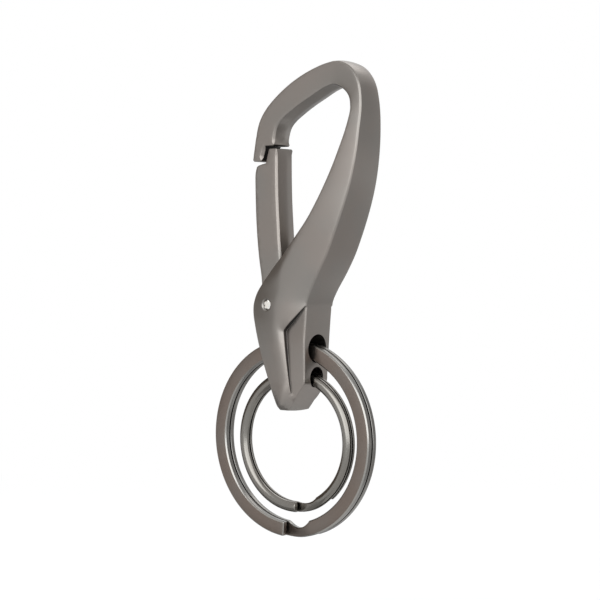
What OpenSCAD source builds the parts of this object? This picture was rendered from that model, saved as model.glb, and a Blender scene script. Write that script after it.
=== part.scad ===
// Belt key clip: a cast hook with a sprung gate, a forked blade and two split rings.
// X runs across the clip, Y through its thickness and Z up. The origin is the inner top of the hook.

/* [Clip] */
// Height of the clip, from the tail's tip to the top of the hook
clip_h = 60.7; // [58:0.1:64]
// Width of the clip, from the nose above its lip to the outside of the spine
clip_w = 24.3; // [23.2:0.1:25.4]
// Thickness of the hook's arm and nose
hook_t = 4.6; // [4.4:0.1:5]
// Greatest thickness, on the crown of the blade
blade_t = 9.4; // [9:0.1:10.4]
// Bevel along the front and back edges
edge_bevel = 0.25; // [0.2:0.05:0.4]
// How far the middle of each side stands out past its edges
side_crown = 0.3; // [0.1:0.05:0.4]

/* [Tail] */
// Thickness between the two sunk panels
panel_t = 7.2; // [7:0.1:7.4]
// Height of the lower hole above the tail's tip
lower_hole_up = 5.9; // [5.7:0.05:6.1]
// Distance between the two ring holes
hole_pitch = 5.05; // [5:0.05:5.4]

/* [Gate] */
// Thickness of the gate
gate_t = 4.6; // [4.3:0.1:4.9]
// Angle that the gate opens inward
gate_open = 24; // [18:1:25]
// Radius of the round foot that turns on the pin
foot_r = 2.9; // [2.7:0.1:3]
// Gap between the gate and each cheek of the fork
cheek_gap = 0.1; // [0.06:0.01:0.15]
// Gap round the foot and at the stop behind the open gate
stop_gap = 0.3; // [0.25:0.05:0.4]
// Gap between the gate's tongue and the lip of the nose
latch_gap = 1.05; // [0.8:0.05:1.2]
// Gap between the tip of the tongue and the nose above it
tip_gap = 0.6; // [0.4:0.05:0.8]
// Gap between the end of the nose and the gate's shoulder
shoulder_gap = 0.36; // [0.3:0.02:0.5]
// Width of the spring's pocket between the two ears
pocket_w = 2.5; // [2.4:0.05:2.7]

/* [Pivot pin] */
// Diameter of the pin
pin_d = 1.8; // [1.6:0.05:2]
// Radial gap between the pin and the gate's ears
pin_gap = 0.05; // [0.03:0.01:0.08]
// Length of the pin over both ends
pin_len = 7.6; // [7.4:0.1:7.8]
// Diameter of the recess round each end of the pin
recess_d = 2.5; // [2.3:0.1:2.7]
// Number of splines on each end of the pin
spline_count = 5; // [5:1:8]
// Depth that the splines bite into the bore
spline_bite = 0.04; // [0.02:0.01:0.06]

/* [Gate spring] */
// Diameter of the spring wire
spring_wire = 0.34; // [0.3:0.02:0.38]
// Mean diameter of the coil
spring_d = 3; // [2.8:0.05:3.1]
// Distance from one turn to the next
spring_pitch = 0.8; // [0.76:0.02:0.84]
// Number of turns
spring_turns = 2; // [1:1:2]
// Length of the leg that pushes the gate
gate_leg = 3.9; // [3.4:0.1:4.1]
// Metal left between the hole for the leg in the body and the upper ring hole
leg_wall = 1.05; // [0.9:0.05:1.3]
// Gap between a leg and the hole or channel that holds it
leg_gap = 0.12; // [0.08:0.02:0.2]

/* [Large ring] */
// Outer diameter
large_od = 35; // [34:0.5:37]
// Width of the wire, measured along a radius
large_wire_w = 2.55; // [2.4:0.05:2.7]
// Thickness of the wire in one turn
large_wire_t = 1.02; // [0.9:0.02:1.1]
// Bevel on the corners of the wire
large_wire_bevel = 0.26; // [0.2:0.02:0.34]
// Spare room round the wire in the upper hole
large_play = 0.68; // [0.65:0.01:0.75]
// Gap between the ring at rest and the bottom of the upper hole
large_seat_gap = 0.43; // [0.41:0.01:0.46]

/* [Small ring] */
// Room all round between the small ring and the large one that it hangs in
rings_apart = 2.35; // [2.1:0.05:2.6]
// Width of the wire, measured along a radius
small_wire_w = 1.75; // [1.6:0.05:1.9]
// Thickness of the wire in one turn
small_wire_t = 0.88; // [0.8:0.02:0.92]
// Bevel on the corners of the wire
small_wire_bevel = 0.26; // [0.2:0.02:0.3]
// Spare room round the wire in the lower hole
small_play = 0.48; // [0.47:0.01:0.55]
// Gap between the ring at rest and the bottom of the lower hole
small_seat_gap = 0.3; // [0.28:0.01:0.36]

/* [Both rings] */
// Gap between the two turns of a ring
turn_gap = 0.44; // [0.42:0.02:0.5]

/* [Hidden] */
$fn = 48;

// Colours of the satin casting, the bright pin and the spring
cast_colour = [0.47, 0.45, 0.43];
ring_colour = [0.42, 0.4, 0.38];
pin_colour = [0.86, 0.84, 0.8];
spring_colour = [0.6, 0.6, 0.6];

// Thickness of every cut that goes right through, and how far other cuts run past the solid
cut_t = 2 * blade_t;
overrun = foot_r;

// The seat at the inner top of the hook, where the origin is, as shares of the clip's width and height
seat_shares = [0.734, 0.934];

// The clip along its strip, from the nose over the top and down the spine to the tail.
// Each row: inner edge across and up, outer edge across and up, then the thickness at the inner edge,
// the crown and the outer edge between the hook's and the blade's, and where the crown lies across.
strip_shares = [
    [0.185, 0.7254, -0.017, 0.7254, 0, 0, 0, 0.5],
    [0.187, 0.743, -0.011, 0.743, 0, 0, 0, 0.5],
    [0.191, 0.761, -0.004, 0.759, 0, 0, 0, 0.5],
    [0.199, 0.789, 0.012, 0.794, 0, 0, 0, 0.5],
    [0.221, 0.817, 0.042, 0.838, 0, 0, 0, 0.5],
    [0.268, 0.838, 0.105, 0.876, 0, 0, 0, 0.5],
    [0.347, 0.859, 0.209, 0.913, 0, 0, 0, 0.5],
    [0.437, 0.879, 0.334, 0.946, 0, 0, 0, 0.5],
    [0.528, 0.897, 0.462, 0.971, 0, 0, 0, 0.5],
    [0.618, 0.916, 0.59, 0.989, 0, 0, 0, 0.5],
    [0.689, 0.931, 0.689, 0.998, 0.01, 0.01, 0.01, 0.5],
    [0.734, 0.934, 0.775, 1, 0.02, 0.02, 0.02, 0.3],
    [0.797, 0.925, 0.865, 0.986, 0.05, 0.06, 0.04, 0.2],
    [0.847, 0.911, 0.93, 0.962, 0.1, 0.11, 0.08, 0.1],
    [0.88, 0.894, 0.971, 0.931, 0.16, 0.17, 0.14, 0.1],
    [0.895, 0.874, 0.99, 0.894, 0.23, 0.25, 0.19, 0.1],
    [0.898, 0.85, 0.996, 0.852, 0.33, 0.35, 0.27, 0.08],
    [0.868, 0.8, 0.988, 0.8, 0.5, 0.51, 0.41, 0.06],
    [0.822, 0.75, 0.976, 0.75, 0.62, 0.63, 0.49, 0.05],
    [0.77, 0.7, 0.956, 0.7, 0.73, 0.74, 0.57, 0.05],
    [0.709, 0.65, 0.928, 0.65, 0.83, 0.84, 0.64, 0.05],
    [0.64, 0.6, 0.889, 0.6, 0.93, 0.94, 0.71, 0.05],
    [0.556, 0.55, 0.842, 0.55, 0.97, 0.99, 0.77, 0.06],
    [0.448, 0.5, 0.79, 0.5, 0.95, 1, 0.8, 0.1],
    [0.333, 0.45, 0.733, 0.45, 0.88, 1, 0.81, 0.17],
    [0.205, 0.4, 0.66, 0.4, 0.75, 1, 0.8, 0.28],
    [0.087, 0.35, 0.583, 0.35, 0.67, 0.99, 0.67, 0.42],
    [0.043, 0.315, 0.541, 0.315, 0.64, 0.98, 0.58, 0.46],
    [0.035, 0.285, 0.531, 0.285, 0.64, 0.98, 0.56, 0.46],
    [0.05, 0.25, 0.523, 0.25, 0.64, 0.98, 0.56, 0.47],
    [0.08, 0.2, 0.513, 0.2, 0.62, 0.97, 0.56, 0.56],
    [0.115, 0.15, 0.509, 0.15, 0.56, 0.91, 0.55, 0.58],
    [0.152, 0.105, 0.505, 0.105, 0.5, 0.84, 0.54, 0.56],
    [0.165, 0.09, 0.503, 0.09, 0.48, 0.81, 0.56, 0.55],
    [0.176, 0.078, 0.495, 0.078, 0.46, 0.77, 0.54, 0.54],
    [0.193, 0.058, 0.456, 0.058, 0.42, 0.7, 0.5, 0.54],
    [0.212, 0.03, 0.4, 0.03, 0.3, 0.5, 0.4, 0.52],
    [0.229, 0.012, 0.364, 0.012, 0.18, 0.34, 0.3, 0.5],
    [0.262, 0.001, 0.342, 0.001, 0.12, 0.24, 0.22, 0.45]
];
// Rings of points from one row to the next, and steps across the front face
strip_rings = 2;
face_steps = 6;

// The sunk panel: its corner, its upper right end and its lower end
panel_shares = [[0.323, 0.231], [0.62, 0.3386], [0.62, -0.05], [0.4, -0.05], [0.376, 0.03]];

// The gate: its height, and how far across its outer and inner edges lie
gate_shares = [
    [0.3157, 0.072, 0.289],
    [0.345, 0.0705, 0.273],
    [0.385, 0.065, 0.259],
    [0.435, 0.044, 0.251],
    [0.49, 0.027, 0.237],
    [0.55, 0.015, 0.227],
    [0.61, 0.0085, 0.218],
    [0.665, 0.0055, 0.214],
    [0.7, 0.006, 0.213],
    [0.7622, 0.012, 0.212]
];
// The rounded shoulder beside the tongue: how far across, and how far below its top, of the hook's thickness
shoulder_shares = [[-0.1, 0.4], [0.0065, 0.4], [0.014, 0.23], [0.031, 0.09], [0.098, 0], [0.105, -0.05]];
// The outer corner of the tongue's tip
tongue_shares = [0.137, 0.7622];
// The pin, and the middle of each ring across the clip
pin_shares = [0.182, 0.307];
large_place_share = 0.2925;
small_place_share = 0.319;
// The flank of the tail that both ring holes come out of
flank_share = 0.508;

// How steeply the face falls from the crown towards the inner and the outer edge
inner_power = 1.35;
outer_power = 1.5;

// Angles of each ring's crossing, clockwise from the bottom: where the first end is cut,
// the middle of the crossing, half its length, where the last end is cut,
// then the middle and half the length of the stretch that is drawn narrow
large_cross_angles = [4.7, -6, 10.5, -17.5, -4.5, 11.5];
small_cross_angles = [-2.5, -20, 17.5, -38, -15, 13];
// How far the inner side is drawn out there, of the wire's width
large_narrow_share = 0.37;
small_narrow_share = 0.27;
ring_steps = 48;
coil_steps = 12;

// A place on the clip, from shares of its width and height
function spot(share) = [
    (share[0] - seat_shares[0]) * clip_w,
    (share[1] - seat_shares[1]) * clip_h + side_crown
];
function half_thickness(share) = (hook_t + (blade_t - hook_t) * share) / 2;

// A smooth curve through four values, at t from the second to the third
function smooth(a, b, c, d, t) =
    b + (c - a) * t / 2 + (2 * a - 5 * b + 4 * c - d) * t * t / 2 + (3 * b - a - 3 * c + d) * t * t * t / 2;
function smooth_row(rows, i, t) =
    smooth(rows[max(i - 1, 0)], rows[i], rows[min(i + 1, len(rows) - 1)], rows[min(i + 2, len(rows) - 1)], t);
function smooth_rows(rows, steps) = concat(
    [for (i = [0 : len(rows) - 2]) for (k = [0 : steps - 1]) smooth_row(rows, i, k / steps)],
    [rows[len(rows) - 1]]
);

// Half thickness across the face, from the inner edge over the crown to the outer edge
function face_height(inner, crown, outer, place, u) =
    u < place
        ? crown - (crown - inner) * pow((place - u) / place, inner_power)
        : crown - (crown - outer) * pow((u - place) / (1 - place), outer_power);

// One closed ring of points across the strip, from a row of shares
function front_points(inner, outer, thick, place) = let (
    width = norm(outer - inner),
    across = (outer - inner) / width
) [
    for (k = [0 : face_steps])
        let (
            u = k / face_steps,
            reach = edge_bevel + (width - 2 * edge_bevel) * u,
            at = inner + across * reach
        )
        [at[0], face_height(thick[0], thick[1], thick[2], place, u), at[1]]
];
function body_ring(row) = let (
    inner = spot([row[0], row[1]]),
    outer = spot([row[2], row[3]]),
    across = (outer - inner) / norm(outer - inner),
    thick = [for (k = [4 : 6]) half_thickness(row[k])],
    front = front_points(inner, outer, thick, row[7]),
    rib_in = inner - across * side_crown,
    rib_out = outer + across * side_crown * 0.5
) concat(
    [[rib_in[0], 0, rib_in[1]]],
    [[inner[0], edge_bevel - thick[0], inner[1]]],
    [for (p = front) [p[0], -p[1], p[2]]],
    [[outer[0], edge_bevel - thick[2], outer[1]]],
    [[rib_out[0], 0, rib_out[1]]],
    [[outer[0], thick[2] - edge_bevel, outer[1]]],
    [for (k = [len(front) - 1 : -1 : 0]) front[k]],
    [[inner[0], thick[0] - edge_bevel, inner[1]]]
);

// A closed skin over rings of points, with flat ends
module skin(rings) {
    n = len(rings[0]);
    last = len(rings) - 1;
    points = [for (ring = rings) for (p = ring) p];
    sides = [
        for (i = [0 : last - 1])
            for (k = [0 : n - 1])
                let (a = i * n + k, b = i * n + (k + 1) % n)
                    for (face = [[a, b, b + n], [a, b + n, a + n]]) face
    ];
    first_end = [for (k = [n - 1 : -1 : 0]) k];
    last_end = [for (k = [0 : n - 1]) last * n + k];
    polyhedron(points = points, faces = concat(sides, [first_end, last_end]), convexity = 10);
}

// An outline in the clip's plane, drawn through its thickness
module plate(outline, thickness) {
    rotate([90, 0, 0])
        linear_extrude(height = thickness, center = true)
            polygon(outline);
}
module cross_pin(at, radius, length) {
    translate([at[0], 0, at[1]])
        rotate([90, 0, 0])
            cylinder(r = radius, h = length, center = true);
}

// Outer diameter of the small ring
small_od = large_od - 2 * (large_wire_w + rings_apart);

// Places that several pieces share
pin_at = spot(pin_shares);
tip_z = spot([0, 0])[1];
lower_hole_z = tip_z + lower_hole_up;
upper_hole_z = lower_hole_z + hole_pitch;
flank_x = spot([flank_share, 0])[0];
large_x = spot([large_place_share, 0])[0];
small_x = spot([small_place_share, 0])[0];
slot_w = gate_t + 2 * cheek_gap;
tongue_tip = spot(tongue_shares);
shoulder_z = spot([0, strip_shares[0][1]])[1] - shoulder_gap;
shoulder = [for (s = shoulder_shares) [spot([s[0], 0])[0], shoulder_z - hook_t * s[1]]];
tongue_foot = shoulder[len(shoulder) - 1];

// A ring's inner height where it leaves its hole at the flank, then the hole's radius and the ring's middle
function rim_height(od, wire_w, across) = sqrt(pow(od / 2 - wire_w, 2) - across * across);
function hole_radius(od, wire_w, across, play) = (od / 2 - rim_height(od, wire_w, across)) / 2 + play;
upper_hole_r = hole_radius(large_od, large_wire_w, flank_x - large_x, large_play);
lower_hole_r = hole_radius(small_od, small_wire_w, flank_x - small_x, small_play);
large_z = upper_hole_z - upper_hole_r + large_seat_gap - rim_height(large_od, large_wire_w, flank_x - large_x);
small_z = lower_hole_z - lower_hole_r + small_seat_gap - rim_height(small_od, small_wire_w, flank_x - small_x);

// The gate's inner edge when open, which the back of the fork follows
function opened(p) = let (
    d = p - pin_at,
    c = cos(gate_open),
    s = sin(gate_open)
) pin_at + [d[0] * c + d[1] * s, d[1] * c - d[0] * s];
gate_rows = [for (row = gate_shares) [spot([row[1], row[0]]), spot([row[2], row[0]])]];
stop_edge = [
    for (i = [1 : len(gate_rows) - 2])
        opened(gate_rows[i][1] + [side_crown + stop_gap, 0])
];
slot_r = foot_r + stop_gap;
slot_outline = concat(
    [[spot([0, 0])[0] - overrun, pin_at[1] - slot_r], [pin_at[0], pin_at[1] - slot_r]],
    [for (a = [-75 : 15 : 0]) pin_at + slot_r * [cos(a), sin(a)]],
    stop_edge,
    [[spot([0, 0])[0] - overrun, stop_edge[len(stop_edge) - 1][1]]]
);
anchor_x = pin_at[0] - spring_d / 2;
// Length of the spring's leg in the body
body_leg = pin_at[1] - upper_hole_z - upper_hole_r - leg_wall - leg_gap;
coil_span = spring_turns * spring_pitch;

module ring_hole(height, radius) {
    translate([0, 0, height])
        rotate([0, 90, 0])
            cylinder(r = radius, h = 2 * clip_w, center = true);
}
module gate_slot() {
    plate(slot_outline, slot_w);
}
module latch_notch() {
    top = tongue_tip[1] + tip_gap;
    slope = (tongue_tip[0] - tongue_foot[0]) / (tongue_tip[1] - tongue_foot[1]);
    bottom = tongue_foot[1] - latch_gap;
    right = gate_rows[len(gate_rows) - 1][1][0] + overrun;
    plate([
        [tongue_foot[0] - latch_gap + slope * (bottom - tongue_foot[1]), bottom],
        [tongue_foot[0] - latch_gap + slope * (top - tongue_foot[1]), top],
        [right, top],
        [right, bottom]
    ], cut_t);
}
module sunk_panels() {
    outline = [for (s = panel_shares) spot(s)];
    depth = cut_t / 2;
    for (side = [-1, 1])
        translate([0, side * (panel_t / 2 + depth / 2), 0])
            plate(outline, depth);
}
module pin_recesses() {
    depth = cut_t / 2;
    for (side = [-1, 1])
        translate([0, side * (pin_len / 2 + depth / 2), 0])
            cross_pin(pin_at, recess_d / 2, depth);
}
module spring_anchor() {
    translate([anchor_x, coil_span / 2, pin_at[1] - body_leg - leg_gap])
        cylinder(r = spring_wire / 2 + leg_gap, h = body_leg);
}

module clip_body() {
    color(cast_colour)
        difference() {
            skin([for (row = smooth_rows(strip_shares, strip_rings)) body_ring(row)]);
            gate_slot();
            latch_notch();
            sunk_panels();
            ring_hole(upper_hole_z, upper_hole_r);
            ring_hole(lower_hole_z, lower_hole_r);
            cross_pin(pin_at, pin_d / 2, cut_t);
            pin_recesses();
            spring_anchor();
        }
}

function gate_ring(outer, inner) = let (
    half = gate_t / 2
) [
    [inner[0] + side_crown, 0, inner[1]],
    [inner[0], edge_bevel - half, inner[1]],
    [inner[0] - edge_bevel, -half, inner[1]],
    [outer[0] + edge_bevel, -half, outer[1]],
    [outer[0], edge_bevel - half, outer[1]],
    [outer[0] - side_crown / 2, 0, outer[1]],
    [outer[0], half - edge_bevel, outer[1]],
    [outer[0] + edge_bevel, half, outer[1]],
    [inner[0] - edge_bevel, half, inner[1]],
    [inner[0], half - edge_bevel, inner[1]]
];
module tongue_cut() {
    past = 2 * tongue_tip - tongue_foot;
    plate(concat(shoulder, [past, [shoulder[0][0], past[1]]]), cut_t);
}
module spring_pocket() {
    room = spring_d / 2 + spring_wire / 2 + leg_gap * 2;
    cross_pin(pin_at, room, pocket_w);
    plate([
        pin_at + [-room, 0],
        pin_at + [-room, -2 * overrun],
        pin_at + [2 * overrun, -2 * overrun],
        pin_at + [2 * overrun, 0]
    ], pocket_w);
    plate([
        pin_at + [-room, 0],
        pin_at + [-room, gate_leg + leg_gap * 2],
        pin_at + [spring_wire - room + leg_gap * 4, gate_leg + leg_gap * 2],
        pin_at + [0, 0]
    ], pocket_w);
}
module gate() {
    smoothed = smooth_rows(gate_rows, 1);
    color(cast_colour)
        difference() {
            union() {
                skin([for (row = smoothed) gate_ring(row[0], row[1])]);
                cross_pin(pin_at, foot_r, gate_t);
            }
            cross_pin(pin_at, pin_d / 2 + pin_gap, cut_t);
            spring_pocket();
            tongue_cut();
        }
}

// The pin: a round shaft, with splines on the two ends that the cheeks hold, and a core through all of it
function spline_outline(radius, bite, count) = [
    for (k = [0 : 2 * count - 1])
        let (r = k % 2 == 0 ? radius + bite : radius - 3 * bite, a = 180 * k / count)
            [r * cos(a), r * sin(a)]
];
module pivot_pin() {
    spline_len = (pin_len - slot_w) / 2;
    color(pin_colour)
        union() {
            cross_pin(pin_at, pin_d / 2, slot_w);
            cross_pin(pin_at, pin_d / 2 - 4 * spline_bite, pin_len);
            for (side = [-1, 1])
                translate([pin_at[0], side * (pin_len - spline_len) / 2, pin_at[1]])
                    rotate([90, 0, 0])
                        linear_extrude(height = spline_len, center = true)
                            polygon(spline_outline(pin_d / 2, spline_bite, spline_count));
        }
}

// Sections square to a path of points: across is the direction that the section's first axis keeps
function unit(v) = v / norm(v);
function path_direction(path, i) = unit(path[min(i + 1, len(path) - 1)] - path[max(i - 1, 0)]);

// The torsion spring: a leg in the gate, the turns round the pin and a leg in the body
function spring_path() = let (
    r = spring_d / 2,
    start = -coil_span / 2,
    steps = spring_turns * coil_steps
) concat(
    [[-r, start, gate_leg], [-r, start, spring_wire]],
    [
        for (i = [0 : steps])
            let (a = 180 + 360 * i / coil_steps)
                [r * cos(a), start + coil_span * i / steps, r * sin(a)]
    ],
    [[-r, -start, -spring_wire], [-r, -start, -body_leg]]
);
function round_section(path, i, radius, sides) = let (
    along = path_direction(path, i),
    side = unit(cross(along, [0, 1, 0])),
    up = cross(side, along)
) [for (k = [0 : sides - 1]) path[i] + radius * (cos(360 * k / sides) * side + sin(360 * k / sides) * up)];
function spring_rings() = let (path = spring_path()) [
    for (i = [0 : len(path) - 1])
        [for (p = round_section(path, i, spring_wire / 2, 6)) p + [pin_at[0], 0, pin_at[1]]]
];
module gate_spring() {
    color(spring_colour)
        skin(spring_rings());
}

// A split ring: two turns of one wire. It starts in the front layer, crosses to the back one and ends there.
function ease(t) = let (u = min(max(t, 0), 1)) u * u * (3 - 2 * u);
function ring_angles(mark) = concat(
    [for (angle = [mark[0] : 360 / ring_steps : 718 + mark[3]]) angle],
    [720 + mark[3]]
);
function wire_section(angle, od, w, t, bevel, mark, narrow_share) = let (
    across = (angle - 360 - mark[1]) / mark[2],
    layer = (ease((across + 1) / 2) - 0.5) * (t + turn_gap),
    aside = min(abs(angle - 360 - mark[4]) / mark[5], 1),
    narrow = 1 - narrow_share * pow(cos(90 * aside), 2),
    outer = od / 2,
    inner = od / 2 - w * narrow,
    out = [-sin(angle), 0, -cos(angle)],
    half = t / 2
) [
    for (c = [
        [outer - bevel, -half], [outer, bevel - half], [outer, half - bevel], [outer - bevel, half],
        [inner + bevel, half], [inner, half - bevel], [inner, bevel - half], [inner + bevel, -half]
    ]) out * c[0] + [0, c[1] + layer, 0]
];
function split_ring(od, w, t, bevel, mark, narrow_share) = [
    for (angle = ring_angles(mark)) wire_section(angle, od, w, t, bevel, mark, narrow_share)
];
module ring_at(rings, x, z) {
    color(ring_colour)
        translate([x, 0, z])
            skin(rings);
}
// The least distance between points of one section and those a turn further on
function least_gap(rings, turn) = min([
    for (i = [0 : len(rings) - 1])
        for (j = [i + turn - 2 : min(i + turn + 2, len(rings) - 1)])
            for (p = rings[i])
                for (q = rings[j])
                    norm(p - q)
]);

module large_ring() {
    mark = large_cross_angles;
    rings = split_ring(large_od, large_wire_w, large_wire_t, large_wire_bevel, mark, large_narrow_share);
    echo(str("Least gap between the turns of the large ring: ", least_gap(rings, ring_steps)));
    ring_at(rings, large_x, large_z);
}
module small_ring() {
    mark = small_cross_angles;
    rings = split_ring(small_od, small_wire_w, small_wire_t, small_wire_bevel, mark, small_narrow_share);
    echo(str("Least gap between the turns of the small ring: ", least_gap(rings, ring_steps)));
    ring_at(rings, small_x, small_z);
}

clip_body();
gate();
pivot_pin();
gate_spring();
large_ring();
small_ring();
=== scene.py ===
import math
import bmesh
import bpy
import numpy as np
from mathutils import Matrix, Vector
from mathutils.geometry import delaunay_2d_cdt


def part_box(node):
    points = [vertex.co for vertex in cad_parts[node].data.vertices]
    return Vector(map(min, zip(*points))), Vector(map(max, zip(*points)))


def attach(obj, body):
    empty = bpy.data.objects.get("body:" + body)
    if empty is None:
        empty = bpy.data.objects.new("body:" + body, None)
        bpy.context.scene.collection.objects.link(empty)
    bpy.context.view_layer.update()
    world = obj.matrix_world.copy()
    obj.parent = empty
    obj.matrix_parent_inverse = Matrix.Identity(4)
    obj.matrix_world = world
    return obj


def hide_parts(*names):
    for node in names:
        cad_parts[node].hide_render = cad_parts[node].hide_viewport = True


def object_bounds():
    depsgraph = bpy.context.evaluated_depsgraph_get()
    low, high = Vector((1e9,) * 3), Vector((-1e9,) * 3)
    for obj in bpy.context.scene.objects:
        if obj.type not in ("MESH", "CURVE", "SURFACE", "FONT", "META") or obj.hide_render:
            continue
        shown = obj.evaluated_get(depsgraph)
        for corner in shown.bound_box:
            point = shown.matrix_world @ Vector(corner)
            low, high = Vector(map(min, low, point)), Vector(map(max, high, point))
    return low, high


# Belt key clip: cast hook, sprung gate on a pin, large and small split ring
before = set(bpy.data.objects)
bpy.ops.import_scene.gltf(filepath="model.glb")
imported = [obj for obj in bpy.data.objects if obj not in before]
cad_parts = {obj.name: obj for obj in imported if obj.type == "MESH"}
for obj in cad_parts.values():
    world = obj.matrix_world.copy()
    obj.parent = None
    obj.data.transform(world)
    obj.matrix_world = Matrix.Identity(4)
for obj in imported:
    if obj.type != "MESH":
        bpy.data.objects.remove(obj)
cadLow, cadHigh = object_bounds()
mm = 0.001
across = Vector((1, 0, 0))
through = Vector((0, 1, 0))
print("Frame loaded, with", len(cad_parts), "nodes")


# Camera, solved from the two rings' outlines. Angles are in degrees.
view = {
    "azimuth": 38.9,
    "elevation": 0.8,
    "focalPixels": 1845,
    "photoPixels": 600,
    "sensorWidth": 36,
    "ringsMiddle": (-10.73 * mm, 0, -61.52 * mm),
    "aside": 1.166 * mm,
    "above": 24.55 * mm,
    "distance": 327 * mm,
    "clipShares": (0.01, 100),
}


def makeCamera():
    turn = math.radians(view["azimuth"])
    tilt = math.radians(view["elevation"])
    ahead = Vector((-math.sin(turn) * math.cos(tilt), math.cos(turn) * math.cos(tilt), -math.sin(tilt)))
    right = Vector((math.cos(turn), math.sin(turn), 0))
    up = right.cross(ahead)
    camera = bpy.data.objects.new("camera", bpy.data.cameras.new("camera"))
    camera.location = (
        Vector(view["ringsMiddle"])
        + right * view["aside"]
        + up * view["above"]
        - ahead * view["distance"]
    )
    camera.rotation_euler = Matrix((right, up, -ahead)).transposed().to_euler()
    camera.data.sensor_width = view["sensorWidth"]
    camera.data.lens = view["focalPixels"] / view["photoPixels"] * view["sensorWidth"]
    near, far = view["clipShares"]
    camera.data.clip_start = view["distance"] * near
    camera.data.clip_end = view["distance"] * far
    bpy.context.collection.objects.link(camera)
    bpy.context.scene.camera = camera


makeCamera()
print("Camera placed")


# Shader nodes: a value carries its socket, so that maths on values adds Math nodes
class Value:
    def __init__(self, nodes, socket):
        self.nodes = nodes
        self.socket = socket

    def maths(self, operation, first, second):
        return self.nodes.add("ShaderNodeMath", {"operation": operation}, {0: first, 1: second})

    def __add__(self, other):
        return self.maths("ADD", self, other)

    def __radd__(self, other):
        return self.maths("ADD", other, self)

    def __sub__(self, other):
        return self.maths("SUBTRACT", self, other)

    def __rsub__(self, other):
        return self.maths("SUBTRACT", other, self)

    def __mul__(self, other):
        return self.maths("MULTIPLY", self, other)

    def __rmul__(self, other):
        return self.maths("MULTIPLY", other, self)

    def clamped(self):
        settings = {"operation": "MULTIPLY", "use_clamp": True}
        return self.nodes.add("ShaderNodeMath", settings, {0: self, 1: 1.0})

    # Rises smoothly from 0 to 1 while the value goes from low to high
    def between(self, low, high):
        settings = {"interpolation_type": "SMOOTHSTEP"}
        sockets = {"Value": self, "From Min": low, "From Max": high}
        return self.nodes.add("ShaderNodeMapRange", settings, sockets)

    # Another output of the same node
    def beside(self, output):
        return Value(self.nodes, self.socket.node.outputs[output])


class Nodes:
    def __init__(self, owner):
        owner.use_nodes = True
        self.tree = owner.node_tree
        self.tree.nodes.clear()

    def add(self, kind, settings=None, sockets=None, output=0):
        node = self.tree.nodes.new(kind)
        for name, setting in (settings or {}).items():
            setattr(node, name, setting)
        for name, value in (sockets or {}).items():
            if isinstance(value, Value):
                self.tree.links.new(value.socket, node.inputs[name])
            else:
                node.inputs[name].default_value = value
        return Value(self, node.outputs[output]) if len(node.outputs) else node

    # Sockets 0, 6 and 7 are the factor and the two colours, and output 2 is the mixed colour
    def mixed(self, share, first, second):
        return self.add("ShaderNodeMix", {"data_type": "RGBA"}, {0: share, 6: first, 7: second}, output=2)

    def surface(self, shader):
        self.add("ShaderNodeOutputMaterial", None, {"Surface": shader})


# The finishes: two tones in patches, how rough they are, and the height of the grain. Patches, clouds and
# grain are counted per metre.
gunmetal = {
    "warm": (0.237, 0.212, 0.193, 1),
    "cool": (0.226, 0.211, 0.195, 1),
    "patches": 90,
    "clouds": 700,
    "grain": 12000,
    "roughness": 0.34,
    "roughnessSpread": 0.06,
    "grainHeight": 0.004 * mm,
}
# Painted shade: a dark colour for the latch's notch and along the panel's wall, in place of the shade that
# falls there
paintedShadeFinish = {
    **gunmetal,
    "warm": (0.06, 0.054, 0.05, 1),
    "cool": (0.05, 0.05, 0.048, 1),
    "patches": 400,
    "clouds": 1500,
    "roughness": 0.5,
    "roughnessSpread": 0.1,
}
ringFinish = {
    "warm": (0.168, 0.137, 0.118, 1),
    "cool": (0.171, 0.147, 0.13, 1),
    "patches": 140,
    "clouds": 900,
    "grain": 9000,
    "roughness": 0.3,
    "roughnessSpread": 0.08,
    "grainHeight": 0.006 * mm,
}
smallRingFinish = {
    **ringFinish,
    "warm": (0.196, 0.182, 0.165, 1),
    "cool": (0.196, 0.186, 0.17, 1),
    "roughness": 0.2,
    "grainHeight": 0.005 * mm,
}
# The large ring's outer and inner sides, and its bevels at the seam
ringEdgeFinish = {
    **ringFinish,
    "warm": (0.205, 0.196, 0.183, 1),
    "cool": (0.197, 0.193, 0.183, 1),
    "roughness": 0.22,
    "roughnessSpread": 0.06,
    "grainHeight": 0.003 * mm,
}
# The large ring's other bevels and its rounded ends, where the plating is rubbed bright
ringBevelFinish = {
    **ringEdgeFinish,
    "warm": (0.31, 0.297, 0.278, 1),
    "cool": (0.297, 0.289, 0.273, 1),
}
pinFinish = {
    "warm": (0.8, 0.76, 0.7, 1),
    "cool": (0.76, 0.75, 0.72, 1),
    "patches": 1500,
    "clouds": 4000,
    "grain": 15000,
    "roughness": 0.24,
    "roughnessSpread": 0.1,
    "grainHeight": 0.01 * mm,
}
springFinish = {
    **pinFinish,
    "warm": (0.42, 0.4, 0.38, 1),
    "cool": (0.4, 0.41, 0.42, 1),
    "clouds": 5000,
    "roughness": 0.3,
    "roughnessSpread": 0.08,
    "grainHeight": 0.004 * mm,
}
# The same in every finish: where one tone turns into the other, the noises' detail and the bump's strength
metalNoise = {
    "toneLow": 0.35,
    "toneHigh": 0.65,
    "detail": 2.0,
    "cloudDetail": 3.0,
    "middle": 0.5,
    "bump": 0.6,
}


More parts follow.
